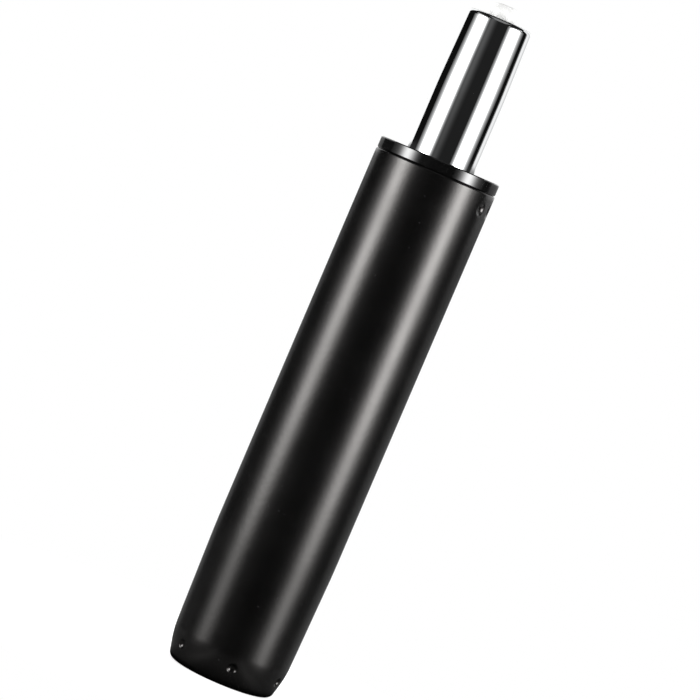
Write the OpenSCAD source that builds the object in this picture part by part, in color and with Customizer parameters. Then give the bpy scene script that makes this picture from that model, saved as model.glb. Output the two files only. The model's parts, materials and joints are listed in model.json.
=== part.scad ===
// Chair gas lift cylinder: a tapered column, a guide sleeve and a gas spring with a release button.
// Units are mm. Z is the lift axis, and the origin is the centre of the column's foot.
// It is drawn fully lowered: the gas tube slides up, turns on the foot's bearing, and the button presses in.

/* [Column] */
// Outside diameter of the straight part of the column
column_d = 50; // [49:0.5:52]
// Wall of the column tube
column_wall = 2; // [1.8:0.1:2.2]
// Height of the column tube, without the sleeve's flange
column_len = 214.4; // [205:0.2:230]
// Height at which the lower seating taper starts
taper_start = 55; // [40:1:70]
// Half angle of both seating tapers, in degrees
taper_angle = 1.4378; // [1.2:0.0001:1.6]
// Height of the swaged foot
swage_h = 10.2; // [9.8:0.1:11.4]
// Half angle of the swaged foot, in degrees
swage_angle = 13.4; // [12:0.2:14.6]
// Half length of the soft bend at the top of the swaged foot
swage_bend = 2.5; // [1:0.5:3]
// Rounding of the foot's outer edge
foot_round = 2.5; // [2.3:0.1:2.9]
// Inner radius of the foot's rolled lip
foot_lip_r = 17; // [16:0.2:17.6]
// Rounded-off edge at the tube's top
column_edge = 0.6; // [0.3:0.1:0.9]

/* [Punched dents] */
// Dimples punched into the foot, which lock the base plate
dimple_n = 6; // [3:1:8]
// Turn of the first dimple about the axis, in degrees
dimple_turn = -22; // [-60:1:60]
// Radius of the punch that makes a foot dimple
dimple_punch_r = 2.4; // [2.2:0.1:2.6]
// Depth of a foot dimple
dimple_depth = 1; // [0.8:0.1:1.1]
// Groups of stakes near the top, which lock the guide sleeve
stake_n = 2; // [2:1:4]
// Turn of the first group of stakes about the axis, in degrees
stake_turn = -19; // [-60:1:60]
// Angle between the two stakes of a group, in degrees
stake_pitch = 22; // [16:1:30]
// Distance of the stakes below the tube's top
stake_drop = 6.6; // [6:0.2:8]
// Radius of the punch that makes a stake
stake_punch_r = 3.2; // [2.8:0.1:3.6]
// Depth of a stake
stake_depth = 0.9; // [0.7:0.1:1]

/* [Guide sleeve] */
// Height of the sleeve's flange
flange_h = 4.8; // [4:0.1:6]
// Step from the column's outside in to the flange's edge
flange_inset = 0.2; // [0.1:0.05:0.5]
// Chamfer on the flange's top edge
flange_chamfer = 0.4; // [0.2:0.1:0.8]
// Length of the sleeve inside the column
sleeve_len = 100; // [80:1:110]
// Wall of the sleeve's core, around the gas tube
sleeve_wall = 2.8; // [2.2:0.1:3.4]
// Ribs along the sleeve
rib_n = 12; // [8:1:16]
// Thickness of a rib
rib_w = 2; // [1.6:0.1:2.6]
// Height of the ring at the sleeve's top, which the stakes lock
top_ring_h = 12; // [11:0.5:16]
// Height of the rings at the sleeve's middle and lower end
low_ring_h = 6; // [4:0.5:9]

/* [Thrust bearing] */
// Outside diameter of the bearing's races
race_d = 19; // [18.4:0.1:20]
// Thickness of a race
race_t = 2; // [1.8:0.1:2.2]
// Depth of a race's groove
race_groove = 0.5; // [0.4:0.05:0.6]
// Diameter of a bearing ball
ball_d = 3.2; // [3:0.1:3.3]
// Number of bearing balls
ball_n = 10; // [8:1:10]
// Thickness of the ball cage
cage_t = 1.4; // [1.2:0.1:1.5]
// Depth of the seat for the lower race in the base plate
race_seat = 1.2; // [1:0.1:1.4]

/* [Rod and stop] */
// Diameter of the piston rod
rod_d = 10; // [9.6:0.1:10.4]
// Step from the rod to its thinner ends
rod_step = 1; // [0.8:0.1:1.2]
// Thickness of the washer under the rod's shoulder
support_t = 2; // [1.6:0.1:2.6]
// Outside diameter of that washer and of the rubber stop
stop_d = 22; // [20:0.5:23]
// Height of the rubber stop
stop_h = 10; // [8:0.5:12]
// Gap between the rubber stop and the lowered gas tube
stop_gap = 0.4; // [0.3:0.1:0.8]
// Thickness of the washer at the rod's lower end
clip_washer_t = 1; // [0.8:0.1:1.2]
// Thickness of the retaining clip
clip_t = 1.2; // [1:0.1:1.4]

/* [Gas spring] */
// Outside diameter of the gas tube
gas_d = 28; // [27.6:0.1:28.4]
// Wall of the gas tube
gas_wall = 1.8; // [1.6:0.1:2]
// Length of the gas tube that stands out of the flange when lowered
gas_out = 59.1; // [50:0.1:70]
// Length of the upper seating cone
cone_len = 30; // [26:1:33]
// Rounding of the gas tube's top edge
rim_round = 1.9; // [1:0.1:2.2]
// Radius of the opening in the gas tube's top
rim_hole_r = 7.6; // [7.4:0.1:8]
// Lift travel
stroke = 110; // [80:1:112]
// Outside diameter of the inner tube
inner_d = 22; // [21.8:0.1:22.2]
// Wall of the inner tube
inner_wall = 1; // [0.9:0.05:1.1]

/* [Piston] */
// Length of the piston
piston_h = 12; // [10:0.5:14]
// Thickness of the disc under the piston
piston_disc_t = 1.5; // [1.2:0.1:2]
// Height of the piston nut
nut_h = 5; // [4:0.5:6]
// Size of the piston nut across its flats
nut_flats = 13; // [12.4:0.1:14]

/* [Release valve] */
// Diameter of the release button
button_d = 10.8; // [10.4:0.1:11.2]
// Diameter of the button's flat top
button_top_d = 7.3; // [6.6:0.1:8]
// Height of the button above the gas tube's rim
button_out = 5.9; // [5.4:0.1:6.6]
// Height of the button's sloped shoulder
button_slope = 2.2; // [1.6:0.1:2.8]
// Travel of the button
press = 3.5; // [2.5:0.1:3.6]
// Diameter of the valve pin
pin_d = 6; // [5.8:0.1:6.2]

/* [Hidden] */
$fn = 96;
cut = 1;
slide_fit = 0.05;
seat_fit = 0.08;
free_gap = 0.3;

// Foot of the column
plate_drop = 0.7;
dimple_drop = 2.5;
dimple_skin = 1.4;
dimple_mid = 0.5;
plate_top = swage_h - plate_drop;
dimple_z = swage_h - dimple_drop;
foot_r = column_r(0);
foot_arc_r = foot_r + foot_round * tan(swage_angle) - foot_round / cos(swage_angle);
plate_recess_r = 11;
plate_web = 3.2;
plate_chamfer = 0.6;
plate_groove_r = 2.6;
plate_groove_in = 0.8;

// Sleeve
stake_skin = 1.5;
sleeve_bore_r = gas_d / 2 + slide_fit;
sleeve_core_r = sleeve_bore_r + sleeve_wall;
sleeve_r = column_d / 2 - column_wall - seat_fit;
sleeve_z = column_len - sleeve_len;
flange_top = column_len + flange_h;
flange_r = column_d / 2 - flange_inset;
flange_foot = 0.5;
stake_z = column_len - stake_drop;
stake_slot_h = 4.4;
stake_slot_in = 0.7;
rib_relief = 0.1;

// Bearing, from the base plate upwards
spigot_r = rod_d / 2 - rod_step;
plate_bore_r = spigot_r + free_gap;
race_r = race_d / 2;
race_low_z = plate_top - race_seat;
ball_r = ball_d / 2;
pitch_r = (race_r + spigot_r) / 2;
ball_z = race_low_z + race_t - race_groove + ball_r + slide_fit;
race_high_z = 2 * ball_z - race_low_z - race_t;
cage_half_w = 2.2;
ball_air = 0.05;

// Rod, from the clip upwards
plate_recess_z = race_low_z - plate_web;
clip_washer_z = plate_recess_z - free_gap - clip_washer_t;
clip_washer_r = 8;
clip_z = clip_washer_z - clip_t;
clip_r = 7;
clip_ring_w = 1.5;
clip_tooth_n = 3;
clip_tooth_w = 2.6;
clip_mouth_w = 6.4;
clip_groove_in = 0.8;
clip_groove_r = spigot_r - clip_groove_in;
spigot_end = 1.1;
spigot_chamfer = 0.5;
rod_end_z = clip_z - spigot_end;
support_z = race_high_z + race_t;
shoulder_z = support_z + support_t;
stop_top = shoulder_z + stop_h;
stop_groove_r = 1.1;
stop_edge = 1.2;

// Gas tube and its seal pack
gas_r = gas_d / 2;
gas_z = stop_top + stop_gap;
gas_top = flange_top + gas_out;
gas_bore_r = gas_r - gas_wall;
cone_z = gas_top - cone_len;
rim_r = gas_r - cone_len * tan(taper_angle);
rim_arc_r = rim_r + rim_round * tan(taper_angle) - rim_round / cos(taper_angle);
low_round = 1.2;
low_lip_gap = 2;
low_lip_r = rod_d / 2 + low_lip_gap;
pack_z = gas_z + gas_wall;
pack_disc_t = 2;
rod_seal_h = 6;
rod_seal_lip = 1.4;
guide_h = 10;
guide_spigot_h = 5;
guide_z = pack_z + pack_disc_t + rod_seal_h;
inner_z = guide_z + guide_h;
inner_r = inner_d / 2;
inner_bore_r = inner_r - inner_wall;
guide_notch_n = 4;
guide_notch_w = 3;
guide_notch_h = 2;
ring_groove_w = 2.2;
ring_groove_in = 1.6;
guide_ring_z = guide_z + guide_h / 2;

// Piston
piston_gap = 1.2;
piston_z = inner_z + guide_spigot_h + stroke + piston_gap;
piston_disc_r = 8.4;
piston_seat_z = piston_z + piston_disc_t;
piston_air = 0.15;
piston_r = inner_bore_r - piston_air;
piston_ring_share = 0.3;
piston_band_share = 0.6;
piston_ring_z = piston_seat_z + piston_h * piston_ring_share;
piston_band_z = piston_seat_z + piston_h * piston_band_share;
piston_band_h = 3;
piston_band_in = 0.9;
nut_z = piston_seat_z + piston_h;
rod_tip = 1;
nut_sides = 6;
rod_top = nut_z + nut_h + rod_tip;

// Valve in the gas tube's cone
valve_h = 48.5;
valve_top = gas_top - gas_wall;
valve_z = valve_top - valve_h;
valve_spigot_h = 16;
valve_step_z = valve_z + valve_spigot_h;
valve_ring_low_up = 8;
valve_ring_high_up = 33;
valve_ring_low_z = valve_z + valve_ring_low_up;
valve_ring_high_z = valve_z + valve_ring_high_up;
well_gap = 0.8;
well_deep = 6.8;
well_r = button_d / 2 + well_gap;
well_z = gas_top - well_deep;
button_z = well_z + press + free_gap;
stack_r = 5.5;
stack_h = 24;
stack_top = valve_z + stack_h;
pin_r = pin_d / 2;
pin_air = 0.3;
pin_seal_h = stack_r - pin_r - 2 * slide_fit;
spacer_h = 8;
spacer_z = stack_top - pin_seal_h - slide_fit - spacer_h;
bush_top = spacer_z - pin_seal_h - slide_fit;
bush_h = 8;
bush_gap = 0.9;
bush_bore_r = pin_r + bush_gap;
port_n = 4;
port_w = 2.5;
port_r = 1.1;
pin_head_gap = 0.5;
pin_head_r = stack_r - pin_head_gap;
pin_head_h = 3.6;
pin_head_flats = 7.6;
pin_head_top = bush_top - bush_h - free_gap;
pin_waist_in = 0.8;
pin_waist_low = 1.4;
pin_waist_high = 1.2;
pin_waist_r = pin_r - pin_waist_in;
pin_waist_z = spacer_z + pin_waist_low;
pin_waist_h = spacer_h - pin_waist_low - pin_waist_high;
pin_socket = 6;
pin_chamfer = 0.4;
button_edge = 0.4;

// Outside radius of the column on its lower taper, at height z
function taper_r(z) = column_d / 2 - (taper_start - z) * tan(taper_angle);

// Outside radius of the column on its swaged foot, at height z
function column_r(z) = taper_r(swage_h) - (swage_h - z) * tan(swage_angle);

// Bore of the gas tube on its cone, at height z
function cone_bore_r(z) = gas_bore_r - (z - cone_z) * tan(taper_angle);

// A ring between two heights
module ring(outer, inner, z0, z1) {
    rotate_extrude() translate([inner, z0]) square([outer - inner, z1 - z0]);
}

// A round seal ring
module seal_ring(mid, section, z) {
    translate([0, 0, z]) rotate_extrude() translate([mid, 0]) circle(d = section);
}

module column_outline() {
    polygon([[0, 0], [foot_arc_r, 0],
        [foot_arc_r + foot_round * cos(swage_angle), foot_round - foot_round * sin(swage_angle)],
        [column_r(swage_h - swage_bend), swage_h - swage_bend],
        [taper_r(swage_h + swage_bend), swage_h + swage_bend], [column_d / 2, taper_start],
        [column_d / 2, column_len - column_edge], [column_d / 2 - column_edge, column_len],
        [0, column_len]]);
    translate([foot_arc_r, foot_round]) circle(foot_round);
}

module column_hollow() {
    polygon([[0, -cut], [foot_lip_r, -cut], [foot_lip_r, column_wall],
        [column_r(column_wall) - column_wall, column_wall], [taper_r(swage_h) - column_wall, swage_h],
        [column_d / 2 - column_wall, taper_start], [column_d / 2 - column_wall, column_len + cut],
        [0, column_len + cut]]);
}

// Places its children at each foot dimple, with the punch's centre at the origin
module at_dimples() {
    for (i = [0 : dimple_n - 1])
        rotate(dimple_turn + i * 360 / dimple_n)
            translate([column_r(dimple_z) - dimple_depth + dimple_punch_r, 0, dimple_z]) children();
}

// Places its children at each stake, with the punch's centre at the origin
module at_stakes() {
    for (i = [0 : stake_n - 1])
        for (side = [-1, 1])
            rotate(stake_turn + i * 360 / stake_n + side * stake_pitch / 2)
                translate([column_d / 2 - stake_depth + stake_punch_r, 0, stake_z]) children();
}

module outer_tube() {
    color([0.03, 0.03, 0.032]) difference() {
        union() {
            rotate_extrude() difference() {
                column_outline();
                column_hollow();
            }
            intersection() {
                at_dimples() sphere(dimple_punch_r + dimple_skin);
                cylinder(r = column_r(dimple_z) - column_wall * dimple_mid, h = 2 * dimple_z);
            }
            intersection() {
                at_stakes() sphere(stake_punch_r + stake_skin);
                cylinder(r = (column_d - column_wall) / 2, h = column_len);
            }
        }
        at_dimples() sphere(dimple_punch_r);
        at_stakes() sphere(stake_punch_r);
    }
}

module guide_sleeve() {
    color([0.045, 0.045, 0.047]) union() {
        difference() {
            rotate_extrude() polygon([[sleeve_bore_r, sleeve_z], [sleeve_core_r, sleeve_z],
                [sleeve_core_r, column_len - top_ring_h], [sleeve_r, column_len - top_ring_h],
                [sleeve_r, column_len], [flange_r - flange_foot, column_len],
                [flange_r, column_len + flange_foot], [flange_r, flange_top - flange_chamfer],
                [flange_r - flange_chamfer, flange_top], [sleeve_bore_r + flange_chamfer, flange_top],
                [sleeve_bore_r, flange_top - flange_chamfer]]);
            ring(sleeve_r + cut, sleeve_r - stake_slot_in, stake_z - stake_slot_h / 2,
                stake_z + stake_slot_h / 2);
        }
        ring(sleeve_r, sleeve_core_r - slide_fit, sleeve_z, sleeve_z + low_ring_h);
        ring(sleeve_r, sleeve_core_r - slide_fit, sleeve_z + sleeve_len / 2 - low_ring_h,
            sleeve_z + sleeve_len / 2);
        for (i = [0 : rib_n - 1])
            rotate(i * 360 / rib_n)
                translate([sleeve_core_r - sleeve_wall / 2, -rib_w / 2, sleeve_z + low_ring_h / 2])
                    cube([sleeve_r - rib_relief - sleeve_core_r + sleeve_wall / 2, rib_w,
                        sleeve_len - top_ring_h]);
    }
}

module base_plate() {
    color([0.55, 0.56, 0.58]) rotate_extrude() difference() {
        polygon([[plate_bore_r, plate_recess_z], [plate_recess_r, plate_recess_z],
            [plate_recess_r, column_wall],
            [column_r(column_wall) - column_wall - seat_fit - plate_chamfer, column_wall],
            [column_r(column_wall + plate_chamfer) - column_wall - seat_fit, column_wall + plate_chamfer],
            [column_r(plate_top) - column_wall - seat_fit, plate_top],
            [race_r + seat_fit, plate_top], [race_r + seat_fit, race_low_z], [plate_bore_r, race_low_z]]);
        translate([column_r(dimple_z) - column_wall - plate_groove_in + plate_groove_r, dimple_z])
            circle(plate_groove_r);
    }
}

module lower_race() {
    color([0.62, 0.63, 0.65]) rotate_extrude() difference() {
        translate([plate_bore_r, race_low_z]) square([race_r - plate_bore_r, race_t]);
        translate([pitch_r, ball_z]) circle(ball_r + slide_fit);
    }
}

// Places its children at each ball's centre
module at_balls() {
    for (i = [0 : ball_n - 1])
        rotate(i * 360 / ball_n) translate([pitch_r, 0, ball_z]) children();
}

module ball_cage() {
    color([0.72, 0.58, 0.28]) difference() {
        ring(pitch_r + cage_half_w, pitch_r - cage_half_w, ball_z - cage_t / 2, ball_z + cage_t / 2);
        at_balls() sphere(ball_r + ball_air);
    }
}

module bearing_balls() {
    color([0.75, 0.76, 0.78]) at_balls() sphere(ball_r);
}

module upper_race() {
    color([0.62, 0.63, 0.65]) rotate_extrude() difference() {
        translate([spigot_r + slide_fit, race_high_z]) square([race_r - spigot_r - slide_fit, race_t]);
        translate([pitch_r, ball_z]) circle(ball_r + slide_fit);
    }
}

module support_washer() {
    color([0.58, 0.59, 0.61]) ring(stop_d / 2, spigot_r + slide_fit, support_z, shoulder_z);
}

module rubber_stop() {
    color([0.04, 0.04, 0.04]) rotate_extrude() difference() {
        polygon([[rod_d / 2 + slide_fit, shoulder_z], [stop_d / 2 - stop_edge, shoulder_z],
            [stop_d / 2, shoulder_z + stop_edge], [stop_d / 2, stop_top - stop_edge],
            [stop_d / 2 - stop_edge, stop_top], [rod_d / 2 + slide_fit, stop_top]]);
        translate([stop_d / 2, shoulder_z + stop_h / 2]) circle(stop_groove_r);
    }
}

module piston_rod() {
    color([0.68, 0.69, 0.71]) rotate_extrude() polygon([[0, rod_end_z],
        [spigot_r - spigot_chamfer, rod_end_z], [spigot_r, rod_end_z + spigot_chamfer],
        [spigot_r, clip_z - slide_fit], [clip_groove_r, clip_z - slide_fit],
        [clip_groove_r, clip_washer_z], [spigot_r, clip_washer_z], [spigot_r, shoulder_z],
        [rod_d / 2, shoulder_z], [rod_d / 2, piston_z], [spigot_r, piston_z],
        [spigot_r, rod_top - spigot_chamfer], [spigot_r - spigot_chamfer, rod_top], [0, rod_top]]);
}

module clip_washer() {
    color([0.58, 0.59, 0.61])
        ring(clip_washer_r, spigot_r + slide_fit, clip_washer_z, clip_washer_z + clip_washer_t);
}

module retaining_clip() {
    color([0.3, 0.31, 0.33]) translate([0, 0, clip_z]) linear_extrude(clip_t) difference() {
        union() {
            difference() {
                circle(clip_r);
                circle(clip_r - clip_ring_w);
            }
            for (i = [0 : clip_tooth_n - 1])
                rotate(i * 360 / clip_tooth_n) translate([-clip_r + clip_ring_w / 2, -clip_tooth_w / 2])
                    square([clip_r - clip_ring_w / 2, clip_tooth_w]);
        }
        circle(clip_groove_r + slide_fit);
        translate([0, -clip_mouth_w / 2]) square([clip_r + cut, clip_mouth_w]);
    }
}

module piston_disc() {
    color([0.58, 0.59, 0.61]) ring(piston_disc_r, spigot_r + slide_fit, piston_z, piston_seat_z);
}

module piston() {
    color([0.7, 0.71, 0.72]) difference() {
        ring(piston_r, spigot_r + slide_fit, piston_seat_z, nut_z);
        ring(piston_r + cut, piston_r - ring_groove_in, piston_ring_z - ring_groove_w / 2,
            piston_ring_z + ring_groove_w / 2);
        ring(piston_r + cut, piston_r - piston_band_in, piston_band_z, piston_band_z + piston_band_h);
    }
}

module piston_seal() {
    section = inner_bore_r - piston_r + ring_groove_in - 2 * slide_fit;
    color([0.05, 0.05, 0.05]) seal_ring(inner_bore_r - slide_fit - section / 2, section, piston_ring_z);
}

module piston_band() {
    color([0.8, 0.78, 0.72]) ring(inner_bore_r - slide_fit, piston_r - piston_band_in + slide_fit,
        piston_band_z + slide_fit, piston_band_z + piston_band_h - slide_fit);
}

module piston_nut() {
    color([0.58, 0.59, 0.61]) difference() {
        translate([0, 0, nut_z]) cylinder(d = nut_flats / cos(180 / nut_sides), h = nut_h, $fn = nut_sides);
        translate([0, 0, nut_z - cut]) cylinder(r = spigot_r + slide_fit, h = nut_h + 2 * cut);
    }
}

module pressure_tube() {
    color([0.82, 0.83, 0.84]) rotate_extrude() difference() {
        union() {
            polygon([[0, gas_z], [gas_r - low_round, gas_z], [gas_r, gas_z + low_round], [gas_r, cone_z],
                [rim_arc_r + rim_round * cos(taper_angle),
                    gas_top - rim_round + rim_round * sin(taper_angle)],
                [rim_arc_r, gas_top], [0, gas_top]]);
            translate([rim_arc_r, gas_top - rim_round]) circle(rim_round);
        }
        polygon([[0, gas_z - cut], [low_lip_r, gas_z - cut], [low_lip_r, pack_z], [gas_bore_r, pack_z],
            [gas_bore_r, cone_z], [cone_bore_r(valve_top), valve_top], [rim_hole_r, valve_top],
            [rim_hole_r, gas_top + cut], [0, gas_top + cut]]);
    }
}

module inner_tube() {
    color([0.66, 0.67, 0.69]) ring(inner_r, inner_bore_r, inner_z, valve_step_z);
}

module seal_disc() {
    color([0.58, 0.59, 0.61])
        ring(gas_bore_r - seat_fit, rod_d / 2 + free_gap, pack_z, pack_z + pack_disc_t);
}

module rod_seal() {
    seal_z = pack_z + pack_disc_t;
    color([0.05, 0.05, 0.05]) rotate_extrude() polygon([[rod_d / 2 + slide_fit, seal_z],
        [gas_bore_r - seat_fit, seal_z], [gas_bore_r - seat_fit, guide_z],
        [rod_d / 2 + 2 * rod_seal_lip, guide_z], [rod_d / 2 + 2 * rod_seal_lip, seal_z + rod_seal_h / 2],
        [rod_d / 2 + rod_seal_lip, seal_z + rod_seal_h / 2], [rod_d / 2 + rod_seal_lip, guide_z - free_gap],
        [rod_d / 2 + slide_fit, guide_z - free_gap]]);
}

module rod_guide() {
    color([0.62, 0.62, 0.6]) difference() {
        rotate_extrude() polygon([[rod_d / 2 + slide_fit, guide_z], [gas_bore_r - seat_fit, guide_z],
            [gas_bore_r - seat_fit, inner_z], [inner_bore_r - seat_fit, inner_z],
            [inner_bore_r - seat_fit, inner_z + guide_spigot_h],
            [rod_d / 2 + slide_fit, inner_z + guide_spigot_h]]);
        ring(gas_r, gas_bore_r - seat_fit - ring_groove_in, guide_ring_z - ring_groove_w / 2,
            guide_ring_z + ring_groove_w / 2);
        for (i = [0 : guide_notch_n - 1])
            rotate(i * 360 / guide_notch_n)
                translate([inner_bore_r - inner_wall, -guide_notch_w / 2, inner_z - guide_notch_h])
                    cube([gas_r, guide_notch_w, guide_notch_h + guide_spigot_h + cut]);
    }
}

module guide_ring() {
    section = seat_fit + ring_groove_in - 2 * slide_fit;
    color([0.05, 0.05, 0.05]) seal_ring(gas_bore_r - slide_fit - section / 2, section, guide_ring_z);
}

module valve_body() {
    color([0.12, 0.12, 0.13]) difference() {
        rotate_extrude() polygon([[pin_r + slide_fit, stack_top], [stack_r, stack_top], [stack_r, valve_z],
            [inner_bore_r - seat_fit, valve_z], [inner_bore_r - seat_fit, valve_step_z],
            [gas_bore_r - seat_fit, valve_step_z], [gas_bore_r - seat_fit, cone_z],
            [cone_bore_r(valve_top) - seat_fit, valve_top], [well_r, valve_top], [well_r, well_z],
            [pin_r + slide_fit, well_z]]);
        ring(inner_r, inner_bore_r - seat_fit - ring_groove_in, valve_ring_low_z - ring_groove_w / 2,
            valve_ring_low_z + ring_groove_w / 2);
        ring(gas_r, cone_bore_r(valve_ring_high_z) - seat_fit - ring_groove_in,
            valve_ring_high_z - ring_groove_w / 2, valve_ring_high_z + ring_groove_w / 2);
        for (i = [0 : port_n - 1])
            rotate(i * 360 / port_n) translate([pin_r, -port_w / 2, valve_step_z])
                cube([gas_r, port_w, port_w]);
    }
}

module valve_ring_low() {
    section = seat_fit + ring_groove_in - 2 * slide_fit;
    color([0.05, 0.05, 0.05]) seal_ring(inner_bore_r - slide_fit - section / 2, section, valve_ring_low_z);
}

module valve_ring_high() {
    section = seat_fit + ring_groove_in - 3 * slide_fit;
    color([0.05, 0.05, 0.05])
        seal_ring(cone_bore_r(valve_ring_high_z) - 2 * slide_fit - section / 2, section, valve_ring_high_z);
}

module pin_seal_low() {
    color([0.05, 0.05, 0.05]) seal_ring((stack_r + pin_r) / 2, pin_seal_h, bush_top + pin_seal_h / 2);
}

module pin_seal_high() {
    color([0.05, 0.05, 0.05])
        seal_ring((stack_r + pin_r) / 2, pin_seal_h, stack_top - pin_seal_h / 2 - slide_fit);
}

module seal_spacer() {
    color([0.72, 0.58, 0.28]) difference() {
        ring(stack_r - slide_fit, pin_r + pin_air, spacer_z, spacer_z + spacer_h);
        for (i = [0 : port_n - 1])
            rotate(i * 360 / port_n) translate([0, 0, valve_step_z + port_w / 2])
                rotate([0, 90, 0]) cylinder(r = port_r, h = stack_r + cut);
    }
}

module valve_bush() {
    color([0.72, 0.58, 0.28]) ring(stack_r - slide_fit, bush_bore_r, bush_top - bush_h, bush_top);
}

module valve_pin() {
    color([0.66, 0.67, 0.69]) union() {
        rotate_extrude() polygon([[0, pin_head_top - pin_head_h / 2], [pin_r, pin_head_top - pin_head_h / 2],
            [pin_r, pin_waist_z], [pin_waist_r, pin_waist_z + pin_chamfer],
            [pin_waist_r, pin_waist_z + pin_waist_h - pin_chamfer], [pin_r, pin_waist_z + pin_waist_h],
            [pin_r, button_z + pin_socket - pin_chamfer], [pin_r - pin_chamfer, button_z + pin_socket],
            [0, button_z + pin_socket]]);
        intersection() {
            translate([0, 0, pin_head_top - pin_head_h]) cylinder(r = pin_head_r, h = pin_head_h);
            translate([-pin_head_r, -pin_head_flats / 2, pin_head_top - pin_head_h])
                cube([2 * pin_head_r, pin_head_flats, pin_head_h]);
        }
    }
}

module release_button() {
    top = gas_top + button_out;
    color([0.93, 0.93, 0.91]) difference() {
        rotate_extrude() polygon([[0, button_z], [button_d / 2 - button_edge, button_z],
            [button_d / 2, button_z + button_edge], [button_d / 2, top - button_slope],
            [button_top_d / 2 + button_edge, top - button_edge], [button_top_d / 2, top], [0, top]]);
        translate([0, 0, button_z - cut]) cylinder(r = pin_r + slide_fit, h = pin_socket + cut);
    }
}

outer_tube();
guide_sleeve();
base_plate();
lower_race();
ball_cage();
bearing_balls();
upper_race();
support_washer();
rubber_stop();
piston_rod();
clip_washer();
retaining_clip();
piston_disc();
piston();
piston_seal();
piston_band();
piston_nut();
pressure_tube();
inner_tube();
seal_disc();
rod_seal();
rod_guide();
guide_ring();
valve_body();
valve_ring_low();
valve_ring_high();
pin_seal_low();
pin_seal_high();
seal_spacer();
valve_bush();
valve_pin();
release_button();
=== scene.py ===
# %% [markdown]
# # A chair gas lift, dressed in Blender
# A gas lift is the column under an office chair. A black steel tube stands in the chair's base, a
# chromed gas tube slides in it, and a small white button on top opens the valve. The construction
# comes in as a fixed frame of 32 solids in metres. Here we give every piece its finish, and we model
# again the three pieces whose soft edges and punched dents are worth a finer mesh than a solid's.

# %% Load the frame
import json
import math

import bmesh
import bpy
from mathutils import Matrix, Vector

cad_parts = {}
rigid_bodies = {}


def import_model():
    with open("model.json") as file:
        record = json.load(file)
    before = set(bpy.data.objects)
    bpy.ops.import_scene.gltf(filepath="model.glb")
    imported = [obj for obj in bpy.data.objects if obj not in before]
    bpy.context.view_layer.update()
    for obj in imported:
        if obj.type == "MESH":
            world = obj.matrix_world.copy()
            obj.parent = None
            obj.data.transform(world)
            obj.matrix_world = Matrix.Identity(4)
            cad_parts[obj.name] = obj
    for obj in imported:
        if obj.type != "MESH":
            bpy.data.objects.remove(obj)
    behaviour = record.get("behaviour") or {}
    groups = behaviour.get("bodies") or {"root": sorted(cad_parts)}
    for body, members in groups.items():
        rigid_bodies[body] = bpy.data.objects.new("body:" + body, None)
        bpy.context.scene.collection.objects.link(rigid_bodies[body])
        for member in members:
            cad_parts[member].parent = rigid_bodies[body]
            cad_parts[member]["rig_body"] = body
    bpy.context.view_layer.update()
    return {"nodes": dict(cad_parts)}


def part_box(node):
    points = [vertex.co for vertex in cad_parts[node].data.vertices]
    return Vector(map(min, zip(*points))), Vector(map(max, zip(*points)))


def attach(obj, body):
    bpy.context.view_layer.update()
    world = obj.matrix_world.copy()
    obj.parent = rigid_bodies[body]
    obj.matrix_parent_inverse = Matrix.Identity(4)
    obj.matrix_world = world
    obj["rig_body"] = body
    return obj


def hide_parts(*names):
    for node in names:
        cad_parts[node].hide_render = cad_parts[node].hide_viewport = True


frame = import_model()
MM = 0.001

# %% [markdown]
# ## Small tools for colour and nodes
# Colours are easiest to pick as the hex values of an image editor, but shaders work in linear light,
# so one function turns hex to linear, with the numbers of the sRGB standard. The next adds a shader
# node: its settings are keywords, and its inputs are either plain values or the output sockets that
# feed them. With it a material reads as a list of steps, where the node editor would show a web of
# wires. The last turns the real size of a pattern into the scale of its texture.


# %% Colour and node tools
def linear(hex_colour):
    """An sRGB hex colour as linear red, green, blue and alpha."""
    channels = [int(hex_colour[i:i + 2], 16) / 255 for i in (1, 3, 5)]
    return [c / 12.92 if c <= 0.04045 else ((c + 0.055) / 1.055) ** 2.4 for c in channels] + [1.0]


def add(tree, kind, inputs, **settings):
    """Adds a node, sets it, and fills or links its inputs."""
    node = tree.nodes.new(kind)
    for name, value in settings.items():
        setattr(node, name, value)
    for name, value in inputs.items():
        if isinstance(value, bpy.types.NodeSocket):
            tree.links.new(value, node.inputs[name])
        else:
            node.inputs[name].default_value = value
    return node


def per(size_mm):
    """The texture scale that gives a pattern of this size, in millimetres."""
    return 1 / (size_mm * MM)


print("black paint in linear light:", [round(c, 4) for c in linear("#060606")])

# %% [markdown]
# ## The camera
# The photograph is a product shot through a long lens, with the camera a little above the middle of
# the lift and rolled, so that the lift leans to the right. Tilting the lift itself would take it out
# of its frame, so we roll the camera instead. The lens follows from the scale: so many pixels of the
# 700 pixel picture to a millimetre of the lift, seen from a metre and a half away.

# %% Place the camera
PICTURE_PIXELS = 700
PIXELS_PER_MM = 2.569
CAMERA_DISTANCE = 1.5
CAMERA_RISE = math.radians(3.07)
CAMERA_ROLL = math.radians(23.194)
AIM = Vector((-3.4, 0, 137.6)) * MM

camera = bpy.data.cameras.new("camera")
camera.sensor_fit = "HORIZONTAL"
camera.lens = camera.sensor_width * CAMERA_DISTANCE * PIXELS_PER_MM / MM / PICTURE_PIXELS
camera_object = bpy.data.objects.new("camera", camera)
backwards = Vector((0, -math.cos(CAMERA_RISE), math.sin(CAMERA_RISE)))
rightwards = Vector((0, 0, 1)).cross(backwards).normalized()
turn_to_aim = Matrix((rightwards, backwards.cross(rightwards), backwards)).transposed()
roll = Matrix.Rotation(CAMERA_ROLL, 3, "Z")
camera_object.matrix_world = (turn_to_aim @ roll).to_4x4()
camera_object.location = AIM + CAMERA_DISTANCE * backwards
bpy.context.scene.collection.objects.link(camera_object)
bpy.context.scene.camera = camera_object
print(f"lens {camera.lens:.1f} mm, rolled {math.degrees(CAMERA_ROLL):.1f} degrees")

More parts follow.
